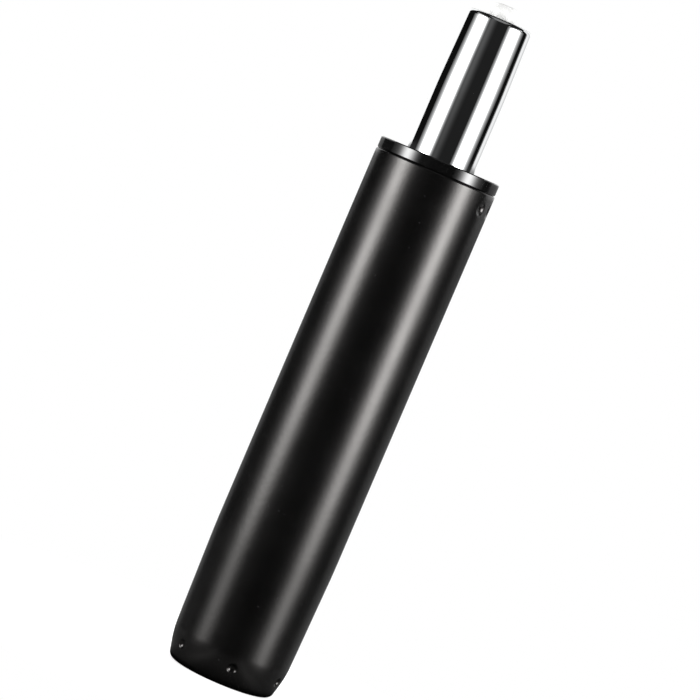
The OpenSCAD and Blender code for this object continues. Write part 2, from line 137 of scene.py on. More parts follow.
# %% [markdown]
# ## Turning a section
# Everything you can see of a gas lift was turned, drawn or swaged, so it is round about one axis. The
# natural way to model that is the lathe's: draw half of the section as a wire, round its corners with
# a vertex bevel, and spin the wire a full turn. A modifier such as Screw could do it too, but the
# operator leaves a plain mesh that we can dent afterwards. The wire's corners have names, so that a
# line below can say which of them it rounds.


# %% Section tools
MERGE_DISTANCE = 0.001 * MM


def section(outline, closed):
    """A wire through named (radius, height) corners in millimetres, in the plane where y is zero."""
    bm = bmesh.new()
    corner = {name: bm.verts.new((r * MM, 0, z * MM)) for name, (r, z) in outline.items()}
    points = list(corner.values())
    ends = points[1:] + points[:1] if closed else points[1:]
    for start, end in zip(points, ends):
        bm.edges.new((start, end))
    return bm, corner


def round_off(bm, corners, reach, segments):
    """Rounds corners of a wire, starting reach millimetres away from each."""
    bmesh.ops.bevel(bm, geom=corners, offset=reach * MM, offset_type="OFFSET", segments=segments,
                    profile=0.5, affect="VERTICES", material=-1)


def divide(bm, low, high, cuts):
    """Adds points to the wire's edges whose middles lie between two heights in millimetres."""
    between = [e for e in bm.edges if low * MM <= sum(v.co.z for v in e.verts) / 2 <= high * MM]
    bmesh.ops.subdivide_edges(bm, edges=between, cuts=cuts)


def spin(bm, steps):
    """Turns the wire into a closed skin with its faces outwards."""
    bmesh.ops.spin(bm, geom=bm.verts[:] + bm.edges[:], cent=(0, 0, 0), axis=(0, 0, 1),
                   angle=2 * math.pi, steps=steps, use_merge=True)
    bmesh.ops.remove_doubles(bm, verts=bm.verts, dist=MERGE_DISTANCE)
    bmesh.ops.recalc_face_normals(bm, faces=bm.faces)


print("section tools ready")

# %% [markdown]
# ## From mesh to piece
# A mesh becomes a piece of the lift when it is linked to the scene with its finish, rides on the body
# that its solid belongs to and stands in for the solid, which is hidden. Faces are shaded smooth,
# except across real edges, which are sharper than any step of a rounded corner.


# %% Piece tools
SHARP = math.radians(38)


def link_mesh(name, bm, material):
    """A new object in the scene, with this mesh and material."""
    mesh = bpy.data.meshes.new(name)
    bm.to_mesh(mesh)
    bm.free()
    mesh.materials.append(material)
    made = bpy.data.objects.new(name, mesh)
    bpy.context.scene.collection.objects.link(made)
    return made


def make_piece(name, bm, node, material):
    """Links the mesh as a piece that rides where the CAD node does, and hides the node."""
    made = link_mesh(name, bm, material)
    made.data.shade_smooth()
    made.data.set_sharp_from_angle(angle=SHARP)
    cad = frame["nodes"][node]
    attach(made, cad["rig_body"])
    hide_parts(node)
    print(name, "has", len(made.data.polygons), "faces")


print(f"edges over {math.degrees(SHARP):.0f} degrees stay sharp")

# %% [markdown]
# ## The column tube
# The column is a drawn steel tube. Its lower part is swaged to the slim taper that wedges into the
# chair's base, and the last centimetre is swaged again, more steeply, and rolled in to a lip. A tube
# could be an outer skin with a Solidify modifier, but the real wall is rolled and cut square at its
# ends, so the wire below goes up the outside and down the inside.

# %% Column section
column_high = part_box("outer_tube")[1] / MM
column_r, column_top = column_high.x, column_high.z
COLUMN_WALL = 2.0
TAPER_START = 55.0
TAPER_SLOPE = math.tan(math.radians(1.4378))
SWAGE_H = 10.2
SWAGE_SLOPE = math.tan(math.radians(13.4))
LIP_R = 17.0
STAKE_DOWN, STAKE_BAND = 6.6, 4.2
stake_z = column_top - STAKE_DOWN
swage_r = column_r - (TAPER_START - SWAGE_H) * TAPER_SLOPE
foot_r = swage_r - SWAGE_H * SWAGE_SLOPE
lip_corner_r = foot_r + COLUMN_WALL * SWAGE_SLOPE - COLUMN_WALL
bore_r = column_r - COLUMN_WALL

column_bm, corner = section({
    "lip_low": (LIP_R, 0),
    "foot": (foot_r, 0),
    "bend": (swage_r, SWAGE_H),
    "shoulder": (column_r, TAPER_START),
    "stake_low": (column_r, stake_z - STAKE_BAND),
    "stake_high": (column_r, stake_z + STAKE_BAND),
    "top": (column_r, column_top),
    "mouth": (bore_r, column_top),
    "bore_stake_high": (bore_r, stake_z + STAKE_BAND),
    "bore_stake_low": (bore_r, stake_z - STAKE_BAND),
    "bore_shoulder": (bore_r, TAPER_START),
    "bore_bend": (swage_r - COLUMN_WALL, SWAGE_H),
    "bore_foot": (lip_corner_r, COLUMN_WALL),
    "lip_high": (LIP_R, COLUMN_WALL)}, closed=True)
round_off(column_bm, [corner["foot"]], reach=1.97, segments=10)
round_off(column_bm, [corner["bend"]], reach=3.5, segments=16)
round_off(column_bm, [corner["shoulder"]], reach=2.5, segments=4)
round_off(column_bm, [corner["top"]], reach=0.7, segments=6)
round_off(column_bm, [corner["mouth"]], reach=0.25, segments=2)
round_off(column_bm, [corner["lip_low"], corner["lip_high"]], reach=0.35, segments=3)
print(f"column tube {column_r:.2f} mm in radius, foot {foot_r:.2f} mm")

# %% [markdown]
# ## A finer mesh for the dents
# A dent can only be as smooth as the mesh under it. So three bands of the wire get more points before
# it is spun: the straight of the foot's cone and the bend above it, where the foot's dents will lie,
# and the wall where the sleeve is staked. Dividing the whole wire as finely would only make a heavy
# mesh of faces that stay flat.

# %% Divide and spin the column
CONE_BAND = (3, 6)
BEND_BAND = (6.9, 9.8)
WALL_BAND = (stake_z - 1, stake_z + 1)
divide(column_bm, *CONE_BAND, cuts=17)
divide(column_bm, *BEND_BAND, cuts=1)
divide(column_bm, *WALL_BAND, cuts=25)
spin(column_bm, steps=480)
print(len(column_bm.faces), "faces to punch")

# %% [markdown]
# ## Punched dents
# Six round dents in the foot lock the base plate, and two pairs of larger ones near the top lock the
# plastic sleeve. A punch is a ball: the steel follows the ball in the middle and bends softly at the
# rim. We could cut balls away with a Boolean, but that leaves a knife edge where a press leaves a
# soft one. Pushing the vertices by a formula gives the ball and the soft rim together, and the inner
# wall is pushed as well, so that the dent stays a dent in sheet steel. How far each vertex was pushed
# is kept as an attribute, full from half the dent's depth on, which the paint reads later.


# %% Punch
BALL_EDGE = 0.97
BURNISH_GAIN = 2
pressed = column_bm.verts.layers.float.new("pressed")


def punch(bm, turn, height, surface_r, slope, ball_r, depth, bulge, rim):
    """Sinks a ball into the wall at this turn in degrees and height, and lifts the bulge behind it."""
    out = Vector((math.cos(math.radians(turn)), math.sin(math.radians(turn)), 0))
    across = Vector((-out.y, out.x, 0))
    for v in bm.verts:
        aside, rise, reach = v.co.dot(across) / MM, v.co.z / MM - height, v.co.dot(out) / MM
        middle_r = surface_r + rise * slope - COLUMN_WALL / 2
        if v.co.xy.length / MM > middle_r:
            lowest, radius = surface_r - depth, ball_r
        else:
            lowest, radius = surface_r - COLUMN_WALL - bulge, ball_r + COLUMN_WALL - depth + bulge
        spread = math.hypot(aside, rise) / radius
        if reach < 0 or spread > BALL_EDGE:
            continue
        ball = lowest + radius * (1 - math.sqrt(1 - spread ** 2))
        sunk = (reach + ball - math.hypot(reach - ball, rim)) / 2
        v[pressed] = max(v[pressed], min(1, BURNISH_GAIN * (reach - sunk) / depth))
        v.co += out * (sunk - reach) * MM


DIMPLES, DIMPLE_TURN, DIMPLE_DOWN = 6, -22, 2.5
dimple_z = SWAGE_H - DIMPLE_DOWN
dimple_r = foot_r + dimple_z * SWAGE_SLOPE
for i in range(DIMPLES):
    punch(column_bm, DIMPLE_TURN + i * 360 / DIMPLES, dimple_z, dimple_r, SWAGE_SLOPE,
          ball_r=2.4, depth=1.15, bulge=0.4, rim=0.1)
STAKE_TURNS = [-30, -8, 150, 172]
for stake_turn in STAKE_TURNS:
    punch(column_bm, stake_turn, stake_z, column_r, 0, ball_r=3.2, depth=0.95, bulge=0.4, rim=0.25)
print(DIMPLES, "foot dents and", len(STAKE_TURNS), "stakes punched")

# %% [markdown]
# ## How a finish starts and ends
# Every finish starts alike, with a new material, its Principled shader and the object's own
# coordinates, in which a pattern stays put when the piece moves. It ends alike too: one pattern each
# for colour, roughness and normal. So these two steps are functions, and what lies between them is
# written out for each finish. A noise texture mostly stays between 0.3 and 0.7, and that span is what
# we stretch to the roughness we want.

# %% Finish tools
NOISE_SPAN = {"From Min": 0.3, "From Max": 0.7}
# A Mix node has sockets for every kind of value under the same names, so its colours go by number.
MIX_A, MIX_B, MIX_RESULT = 6, 7, 2


def new_finish(name):
    """A new material, its node tree, its shader and the object coordinates."""
    material = bpy.data.materials.new(name)
    material.use_nodes = True
    tree = material.node_tree
    place = add(tree, "ShaderNodeTexCoord", {}).outputs["Object"]
    return material, tree, tree.nodes["Principled BSDF"], place


def feed(tree, shader, colour, roughness, normal):
    """Links the three patterns of a finish to its shader."""
    tree.links.new(colour, shader.inputs["Base Color"])
    tree.links.new(roughness, shader.inputs["Roughness"])
    tree.links.new(normal, shader.inputs["Normal"])


print("finish tools ready")

# %% [markdown]
# ## Satin powder coat
# The column is powder coated: dry black powder is sprayed on and baked, which leaves a tough satin
# film with a faint orange peel. To the eye that is a nearly black body with broad, soft highlights.
# Clear binder lies over the pigment, so the base stays dark and the specular does the work. A coat
# layer could stand for the binder, but the film has a single surface, so one specular is enough.
# Orange peel and grain go into the bump, a slow noise varies the roughness, and a few dust specks are
# baked in. The punch burnishes the film, so the dents are a little glossier.

# %% Powder coat and the column piece
PEEL_MM, PEEL_DEPTH = 1.8, 0.05 * MM
GRAIN_MM, GRAIN_DEPTH = 0.35, 0.01 * MM
BLOTCH_MM = 14
SATIN_LEAST, SATIN_MOST, SATIN_BURNISHED = 0.23, 0.27, 0.18
SPECK_APART_MM, SPECK_CORE, SPECK_EDGE = 5, 0.035, 0.05  # core and edge are shares of that distance

powder_coat, tree, shader, place = new_finish("satin_powder_coat")
peel = add(tree, "ShaderNodeTexNoise", {"Vector": place, "Scale": per(PEEL_MM), "Detail": 2})
grain = add(tree, "ShaderNodeTexNoise", {"Vector": place, "Scale": per(GRAIN_MM), "Detail": 1})
blotch = add(tree, "ShaderNodeTexNoise", {"Vector": place, "Scale": per(BLOTCH_MM), "Detail": 3})
peel_bump = add(tree, "ShaderNodeBump", {
    "Height": peel.outputs["Fac"], "Strength": 0.4, "Distance": PEEL_DEPTH})
bump = add(tree, "ShaderNodeBump", {
    "Height": grain.outputs["Fac"], "Strength": 0.45, "Distance": GRAIN_DEPTH,
    "Normal": peel_bump.outputs["Normal"]})
satin = add(tree, "ShaderNodeMapRange", {
    "Value": blotch.outputs["Fac"], **NOISE_SPAN, "To Min": SATIN_LEAST, "To Max": SATIN_MOST})
dent = add(tree, "ShaderNodeAttribute", {}, attribute_name="pressed")
rough = add(tree, "ShaderNodeMapRange", {
    "Value": dent.outputs["Fac"], "To Min": satin.outputs["Result"], "To Max": SATIN_BURNISHED})
cells = add(tree, "ShaderNodeTexVoronoi", {"Vector": place, "Scale": per(SPECK_APART_MM)}, feature="F1")
speck = add(tree, "ShaderNodeMapRange", {
    "Value": cells.outputs["Distance"], "From Min": SPECK_CORE, "From Max": SPECK_EDGE,
    "To Min": 1, "To Max": 0})
film = add(tree, "ShaderNodeMix", {
    "Factor": blotch.outputs["Fac"], MIX_A: linear("#030303"), MIX_B: linear("#060606")},
    data_type="RGBA")
dusty = add(tree, "ShaderNodeMix", {
    "Factor": speck.outputs["Result"], MIX_A: film.outputs[MIX_RESULT], MIX_B: linear("#2c2c2d")},
    data_type="RGBA")
feed(tree, shader, dusty.outputs[MIX_RESULT], rough.outputs["Result"], bump.outputs["Normal"])
shader.inputs["IOR"].default_value = 1.5
shader.inputs["Specular Tint"].default_value = linear("#fffcf9")
make_piece("column_tube", column_bm, "outer_tube", powder_coat)

# %% [markdown]
# ## The flange of the guide sleeve
# The black ring at the column's top is the flange of a long plastic sleeve that the gas tube slides
# in. Its solid already has the right shape, so it keeps its mesh and only gets a finish: acetal,
# moulded in a polished tool. To the eye its edge is glossier than the paint below it and shows the
# lamps as sharp stripes. Its top face is matt, so it doesn't mirror the chrome that rises from it.

# %% Black acetal on the sleeve
FLOW_MM, FLOW_DEPTH = 2.5, 0.01 * MM
POLISH_LEAST, POLISH_MOST = 0.03, 0.05
MATT_DEPTH, MATT_ROUGHNESS = 0.04 * MM, 0.2
flange_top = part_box("guide_sleeve")[1].z

black_acetal, tree, shader, place = new_finish("black_acetal")
flow = add(tree, "ShaderNodeTexNoise", {"Vector": place, "Scale": per(FLOW_MM), "Detail": 3})
polish = add(tree, "ShaderNodeMapRange", {
    "Value": flow.outputs["Fac"], **NOISE_SPAN, "To Min": POLISH_LEAST, "To Max": POLISH_MOST})
height = add(tree, "ShaderNodeSeparateXYZ", {"Vector": place}).outputs["Z"]
matt = add(tree, "ShaderNodeMapRange", {
    "Value": height, "From Min": flange_top - MATT_DEPTH, "From Max": flange_top,
    "To Max": MATT_ROUGHNESS})
rough = add(tree, "ShaderNodeMath", {
    0: polish.outputs["Result"], 1: matt.outputs["Result"]}, operation="ADD")
bump = add(tree, "ShaderNodeBump", {
    "Height": flow.outputs["Fac"], "Strength": 0.1, "Distance": FLOW_DEPTH})
resin = add(tree, "ShaderNodeMix", {
    "Factor": flow.outputs["Fac"], MIX_A: linear("#060606"), MIX_B: linear("#0b0b0b")},
    data_type="RGBA")
feed(tree, shader, resin.outputs[MIX_RESULT], rough.outputs[0], bump.outputs["Normal"])
shader.inputs["IOR"].default_value = 1.55
shader.inputs["Specular IOR Level"].default_value = 0.55
frame["nodes"]["guide_sleeve"].material_slots[0].material = black_acetal
print("sleeve finished in", black_acetal.name)

# %% [markdown]
# ## The gas tube
# The gas tube is drawn steel, ground and chromed. Its top narrows to the cone that wedges into the
# seat plate, and the rim is rolled in over the valve. The section is short, but the rolled rim needs
# a true arc with many steps: chrome is a mirror, and a mirror shows every flat.

# %% Gas tube section
gas_low, gas_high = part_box("pressure_tube")
gas_r, gas_foot, gas_top = gas_high.x / MM, gas_low.z / MM, gas_high.z / MM
GAS_WALL = 1.8
CONE_H = 30.0
RIM_HOLE_R = 7.6
LOW_LIP_R = 7.0
rim_r = gas_r - CONE_H * TAPER_SLOPE
gas_bm, corner = section({
    "low_lip": (LOW_LIP_R, gas_foot),
    "foot": (gas_r, gas_foot),
    "cone": (gas_r, gas_top - CONE_H),
    "rim": (rim_r, gas_top),
    "hole": (RIM_HOLE_R, gas_top),
    "hole_low": (RIM_HOLE_R, gas_top - GAS_WALL),
    "bore_rim": (rim_r - GAS_WALL, gas_top - GAS_WALL),
    "bore_cone": (gas_r - GAS_WALL, gas_top - CONE_H),
    "bore_foot": (gas_r - GAS_WALL, gas_foot + GAS_WALL),
    "low_lip_inside": (LOW_LIP_R, gas_foot + GAS_WALL)}, closed=True)
round_off(gas_bm, [corner["rim"]], reach=1.85, segments=16)
round_off(gas_bm, [corner["cone"]], reach=2, segments=4)
round_off(gas_bm, [corner["foot"]], reach=1.1, segments=5)
round_off(gas_bm, [corner["hole"]], reach=0.3, segments=3)
spin(gas_bm, steps=256)
print(f"gas tube {gas_r:.2f} mm in radius, rim {rim_r:.2f} mm")

# %% [markdown]
# ## Hard chrome
# Ground and chromed steel is close to a mirror. What keeps it from looking like a computer's mirror
# is the grinding: very fine rings round the tube that blur reflections a touch along its length. An
# anisotropic shader would blur them too, but it has no marks to show when the camera comes close.
# Real grinding marks are far finer than a pixel, so these are drawn coarser than they are, and faint.

# %% Chrome and the gas tube piece
RING_LENGTH_MM, RING_SQUEEZE, RING_DEPTH = 6, 30, 0.002 * MM
SMEAR_MM = 9
CHROME_LEAST, CHROME_MOST = 0.03, 0.055

chrome, tree, shader, place = new_finish("hard_chrome")
squeezed = add(tree, "ShaderNodeMapping", {"Vector": place, "Scale": (1, 1, RING_SQUEEZE)})
rings = add(tree, "ShaderNodeTexNoise", {
    "Vector": squeezed.outputs["Vector"], "Scale": per(RING_LENGTH_MM), "Detail": 2})
smear = add(tree, "ShaderNodeTexNoise", {"Vector": place, "Scale": per(SMEAR_MM), "Detail": 3})
rough = add(tree, "ShaderNodeMapRange", {
    "Value": smear.outputs["Fac"], **NOISE_SPAN, "To Min": CHROME_LEAST, "To Max": CHROME_MOST})
bump = add(tree, "ShaderNodeBump", {
    "Height": rings.outputs["Fac"], "Strength": 0.1, "Distance": RING_DEPTH})
tint = add(tree, "ShaderNodeMix", {
    "Factor": smear.outputs["Fac"], MIX_A: linear("#d9dadb"), MIX_B: linear("#e2e3e3")},
    data_type="RGBA")
feed(tree, shader, tint.outputs[MIX_RESULT], rough.outputs["Result"], bump.outputs["Normal"])
shader.inputs["Metallic"].default_value = 1
make_piece("gas_tube", gas_bm, "pressure_tube", chrome)

# %% [markdown]
# ## The release button
# The button is a small moulded cap on the valve pin. Its shoulder slopes so that the seat's lever can
# slide on to it. The section starts and ends on the axis, so the spin closes the top by itself once
# its doubled points are merged. The socket for the pin is left hollow.

# %% Button section
button_low, button_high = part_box("release_button")
button_r, button_foot, button_top = button_high.x / MM, button_low.z / MM, button_high.z / MM
SHOULDER_H = 2.2
BUTTON_TOP_R = 3.85
SOCKET_R = 3.05
SOCKET_H = 6.0
button_bm, corner = section({
    "top_middle": (0, button_top),
    "top_edge": (BUTTON_TOP_R, button_top),
    "shoulder": (button_r, button_top - SHOULDER_H),
    "foot": (button_r, button_foot),
    "socket_mouth": (SOCKET_R, button_foot),
    "socket_end": (SOCKET_R, button_foot + SOCKET_H),
    "socket_middle": (0, button_foot + SOCKET_H)}, closed=False)
round_off(button_bm, [corner["top_edge"], corner["shoulder"]], reach=0.5, segments=5)
round_off(button_bm, [corner["foot"]], reach=0.4, segments=3)
spin(button_bm, steps=128)
print(f"button {button_r:.2f} mm in radius")

# %% [markdown]
# ## White acetal
# Acetal is a waxy white plastic. Light goes a little way into it before it comes out, so to the eye
# its shadows are soft and its edges glow. A plain white surface would look like chalk, so a small
# subsurface share gives that, with a radius of a millimetre. The mould leaves a fine, slightly uneven
# skin.

# %% Acetal and the button piece
SKIN_MM, SKIN_DEPTH = 0.8, 0.02 * MM
MILK_MM = 3
WAX_LEAST, WAX_MOST = 0.3, 0.4
LIGHT_DEPTH = 1 * MM

acetal, tree, shader, place = new_finish("white_acetal")
skin = add(tree, "ShaderNodeTexNoise", {"Vector": place, "Scale": per(SKIN_MM), "Detail": 3})
cloud = add(tree, "ShaderNodeTexNoise", {"Vector": place, "Scale": per(MILK_MM), "Detail": 2})
milk = add(tree, "ShaderNodeMix", {
    "Factor": cloud.outputs["Fac"], MIX_A: linear("#f6f6f4"), MIX_B: linear("#fafaf9")},
    data_type="RGBA")
rough = add(tree, "ShaderNodeMapRange", {
    "Value": cloud.outputs["Fac"], **NOISE_SPAN, "To Min": WAX_LEAST, "To Max": WAX_MOST})
bump = add(tree, "ShaderNodeBump", {
    "Height": skin.outputs["Fac"], "Strength": 0.15, "Distance": SKIN_DEPTH})
feed(tree, shader, milk.outputs[MIX_RESULT], rough.outputs["Result"], bump.outputs["Normal"])
shader.inputs["IOR"].default_value = 1.48
shader.inputs["Subsurface Weight"].default_value = 0.2
shader.inputs["Subsurface Radius"].default_value = (1, 1, 1)
shader.inputs["Subsurface Scale"].default_value = LIGHT_DEPTH
make_piece("button_cap", button_bm, "release_button", acetal)

# %% [markdown]
# ## Turned and plated metal
# Inside the column are washers, races, a rod, a clip and a piston. All of them were turned or ground,
# so their marks are rings about the axis. One number follows the tool on every face: the distance
# from the axis plus the height. It grows across a flat washer and along a rod alike, and a noise of
# that one number makes the rings, where a Wave texture would draw them too evenly. A second noise
# mottles colour and roughness, as plating does.


# %% Turned metal
MOTTLE_MM = 3
TOOL_DEPTH = 0.01 * MM
METAL_VARIES = 0.2


def turned_metal(name, dark, light, rough, ring_mm):
    """A metal with rings of this width. The roughness varies a little around rough."""
    material, tree, shader, place = new_finish(name)
    flat = add(tree, "ShaderNodeVectorMath", {0: place, 1: (1, 1, 0)}, operation="MULTIPLY")
    away = add(tree, "ShaderNodeVectorMath", {0: flat.outputs["Vector"]}, operation="LENGTH")
    height = add(tree, "ShaderNodeSeparateXYZ", {"Vector": place}).outputs["Z"]
    path = add(tree, "ShaderNodeMath", {0: away.outputs["Value"], 1: height}, operation="ADD")
    rings = add(tree, "ShaderNodeTexNoise", {
        "W": path.outputs[0], "Scale": per(ring_mm), "Detail": 2}, noise_dimensions="1D")
    mottle = add(tree, "ShaderNodeTexNoise", {"Vector": place, "Scale": per(MOTTLE_MM), "Detail": 4})
    tint = add(tree, "ShaderNodeMix", {
        "Factor": mottle.outputs["Fac"], MIX_A: linear(dark), MIX_B: linear(light)}, data_type="RGBA")
    blur = add(tree, "ShaderNodeMapRange", {
        "Value": mottle.outputs["Fac"], **NOISE_SPAN,
        "To Min": (1 - METAL_VARIES) * rough, "To Max": (1 + METAL_VARIES) * rough})
    bump = add(tree, "ShaderNodeBump", {
        "Height": rings.outputs["Fac"], "Strength": 0.3, "Distance": TOOL_DEPTH})
    feed(tree, shader, tint.outputs[MIX_RESULT], blur.outputs["Result"], bump.outputs["Normal"])
    shader.inputs["Metallic"].default_value = 1
    return material


print(f"metals are mottled every {MOTTLE_MM} mm")

# %% [markdown]
# ## The metals
# To the eye these metals differ in tint, in gloss and in how coarse their rings are. Zinc plating is
# a cool, soft grey, ground steel is brighter and sharper, and lapped balls are nearly mirrors. Brass
# is a warm yellow, phosphated spring steel almost black and dull, turned aluminium pale, and a drawn
# tube is a duller grey with the widest marks.

# %% Mix the metals
METALS = {
    "plated_steel": turned_metal("zinc_plated_steel", "#a9adb2", "#c3c6c9", rough=0.32, ring_mm=0.4),
    "bearing_steel": turned_metal("ground_bearing_steel", "#b4b6b8", "#c6c8ca", rough=0.18, ring_mm=0.2),
    "ball_steel": turned_metal("lapped_ball_steel", "#c4c6c8", "#d0d2d3", rough=0.08, ring_mm=0.15),
    "cage_brass": turned_metal("pressed_brass", "#c39a4a", "#d6b068", rough=0.28, ring_mm=0.4),
    "rod_steel": turned_metal("ground_rod_steel", "#b9bbbe", "#cccecf", rough=0.15, ring_mm=0.2),
    "spring_steel": turned_metal("phosphated_spring_steel", "#3a3b3d", "#4c4d4f", rough=0.45, ring_mm=0.5),
    "piston_alloy": turned_metal("turned_aluminium", "#c0c2c4", "#d4d5d6", rough=0.25, ring_mm=0.3),
    "tube_steel": turned_metal("drawn_tube_steel", "#a2a4a7", "#b6b8bb", rough=0.3, ring_mm=0.6),
}
print(len(METALS), "metals mixed")

# %% [markdown]
# ## Moulded plastics and rubber
# The seals are nitrile rubber, the valve is glass-filled nylon, and the guides are plain plastics. A
# moulded skin copies its tool, so it has a fine grain and no rings. To the eye the materials differ
# in colour, in how coarse the grain is and in how much gloss the tool left: rubber is black and dull,
# natural PTFE creamy and waxy, acetal a plain grey, and the nylon black with a fine, dry grain.


# %% Plastic and rubber finishes
CLOUD_MM = 6
MOULD_DEPTH = 0.03 * MM
SKIN_VARIES = 0.1


def moulded_skin(name, dark, light, rough, grain_mm):
    """A plastic or rubber with a skin of this grain."""
    material, tree, shader, place = new_finish(name)
    grain = add(tree, "ShaderNodeTexNoise", {"Vector": place, "Scale": per(grain_mm), "Detail": 3})
    cloud = add(tree, "ShaderNodeTexNoise", {"Vector": place, "Scale": per(CLOUD_MM), "Detail": 2})
    tint = add(tree, "ShaderNodeMix", {
        "Factor": cloud.outputs["Fac"], MIX_A: linear(dark), MIX_B: linear(light)}, data_type="RGBA")
    blur = add(tree, "ShaderNodeMapRange", {
        "Value": grain.outputs["Fac"], **NOISE_SPAN,
        "To Min": (1 - SKIN_VARIES) * rough, "To Max": (1 + SKIN_VARIES) * rough})
    bump = add(tree, "ShaderNodeBump", {
        "Height": grain.outputs["Fac"], "Strength": 0.3, "Distance": MOULD_DEPTH})
    feed(tree, shader, tint.outputs[MIX_RESULT], blur.outputs["Result"], bump.outputs["Normal"])
    return material


SKINS = {
    "black_rubber": moulded_skin("nitrile_rubber", "#121212", "#1c1c1c", rough=0.7, grain_mm=0.5),
    "band_plastic": moulded_skin("natural_ptfe", "#d9d5c8", "#e4e1d6", rough=0.45, grain_mm=0.6),
    "guide_plastic": moulded_skin("grey_acetal", "#8f908d", "#9fa09c", rough=0.4, grain_mm=0.6),
    "valve_plastic": moulded_skin("glass_filled_nylon", "#161617", "#222223", rough=0.5, grain_mm=0.3),
}
print(len(SKINS), "skins mixed")

# %% [markdown]
# ## Finishing the inner pieces
# The solids inside the lift have the right shapes already, so they keep their meshes, and each swaps
# its flat colour for the finish that its material slot names. The sleeve and the three solids that we
# modelled again have slots of their own, so they are passed over.

# %% Finish the inner pieces
inner_finishes = {**METALS, **SKINS}
finished = 0
for node in frame["nodes"].values():
    finish = inner_finishes.get(node.material_slots[0].material.name)
    if finish:
        node.material_slots[0].material = finish
        finished += 1
print(finished, "inner pieces finished")

# %% [markdown]
# ## Tools for the stage
# The rest is the stage: a floor, a white room, and cards that light the lift or are mirrored in it. A
# card only has to glow, and the floor needs just a matt white besides, so a stage material does
# without the Principled shader. Cycles aims part of its rays at whatever glows. Aimed at a black card
# such a ray is wasted, and too many wasted rays leave a white button grainy, so only a card that is a
# lamp is sampled. Light Path tells what a ray is for, and lets the background be white where it shows
# and dimmer where it only lights.


# %% Stage tools
def stage_piece(name, bm, material):
    """Links the mesh as part of the stage, not of the lift."""
    made = link_mesh(name, bm, material)
    return made


def stage_light(name, sampled=False):
    """A material without a shader yet, its node tree and the object coordinates."""
    material, tree, shader, place = new_finish(name)
    tree.nodes.remove(shader)
    material.cycles.emission_sampling = "FRONT_BACK" if sampled else "NONE"
    return material, tree, place


def surface_of(tree):
    """The socket that takes the finished surface."""
    return tree.nodes["Material Output"].inputs["Surface"]


def where_shown(tree):
    """1 for a ray from the camera, from a mirror or through glass, and 0 for one that only lights."""
    light_path = add(tree, "ShaderNodeLightPath", {}).outputs
    seen = add(tree, "ShaderNodeMath", {
        0: light_path["Is Camera Ray"], 1: light_path["Is Glossy Ray"]}, operation="MAXIMUM")
    shown = add(tree, "ShaderNodeMath", {
        0: seen.outputs[0], 1: light_path["Is Transmission Ray"]}, operation="MAXIMUM")
    return shown.outputs[0]


print("stage tools ready")

# %% [markdown]
# ## The floor
# The lift stands on a plain pale floor that fades into white. A floor that is lit up to white would
# need strong lamps and would wash out the white button, so the floor adds its own light where it
# shows, and the lamps only have to draw the lift's shadow on it. The lift doesn't mirror the floor:
# its foot mirrors a dark table with a painted shadow, which comes with the cards below.

# %% Floor
FLOOR_R, FLOOR_SIDES, FLOOR_DROP = 0.17, 128, 0.05 * MM
FADE_START, FADE_END = 0.4 * FLOOR_R, 0.95 * FLOOR_R
FLOOR_GLOW = 0.62

floor_paint, tree, place = stage_light("pale_floor")
away = add(tree, "ShaderNodeVectorMath", {0: place}, operation="LENGTH")
fade = add(tree, "ShaderNodeMapRange", {
    "Value": away.outputs["Value"], "From Min": FADE_START, "From Max": FADE_END},
    interpolation_type="SMOOTHSTEP")
shown = where_shown(tree)
glow = add(tree, "ShaderNodeMath", {0: shown, 1: FLOOR_GLOW}, operation="MULTIPLY")
pale = add(tree, "ShaderNodeBsdfDiffuse", {"Color": linear("#f2f2f2")})
own_light = add(tree, "ShaderNodeEmission", {"Strength": glow.outputs[0]})
lit = add(tree, "ShaderNodeAddShader", {0: pale.outputs[0], 1: own_light.outputs[0]})
white = add(tree, "ShaderNodeEmission", {"Strength": shown})
surface = add(tree, "ShaderNodeMixShader", {0: fade.outputs[0], 1: lit.outputs[0], 2: white.outputs[0]})
tree.links.new(surface.outputs[0], surface_of(tree))

floor_bm = bmesh.new()
bmesh.ops.create_circle(floor_bm, cap_ends=True, radius=FLOOR_R, segments=FLOOR_SIDES)
bmesh.ops.translate(floor_bm, verts=floor_bm.verts, vec=(0, 0, -FLOOR_DROP))
floor = stage_piece("floor", floor_bm, floor_paint)
floor.visible_glossy = False
print("floor radius", FLOOR_R, "m")

# %% [markdown]
# ## The white room
# Beyond the floor there is only the world. It is white where it shows, and dimmer where it only
# lights the lift, because full light from all sides would wash out the softboxes' work. It lights more
# strongly from behind, where there is no softbox, so that the back of the button isn't dull. Rays
# aren't aimed at it: they find it by chance, which is enough for light that comes from all sides.

# %% World
ROOM_FRONT, ROOM_BEHIND = 0.34, 0.95
FRONT_END, BEHIND_END = -0.3, 1
world = bpy.data.worlds.new("white_room")
bpy.context.scene.world = world
world.use_nodes = True
world.cycles.sampling_method = "NONE"
tree = world.node_tree
towards = add(tree, "ShaderNodeTexCoord", {}).outputs["Generated"]
behind = add(tree, "ShaderNodeSeparateXYZ", {"Vector": towards}).outputs["Y"]
room = add(tree, "ShaderNodeMapRange", {
    "Value": behind, "From Min": FRONT_END, "From Max": BEHIND_END,
    "To Min": ROOM_FRONT, "To Max": ROOM_BEHIND})
level = add(tree, "ShaderNodeMath", {0: where_shown(tree), 1: room.outputs[0]}, operation="MAXIMUM")
tree.links.new(level.outputs[0], tree.nodes["Background"].inputs["Strength"])
tree.nodes["Background"].inputs["Color"].default_value = linear("#ffffff")
print("room lights at", ROOM_FRONT, "from the front and", ROOM_BEHIND, "from behind")

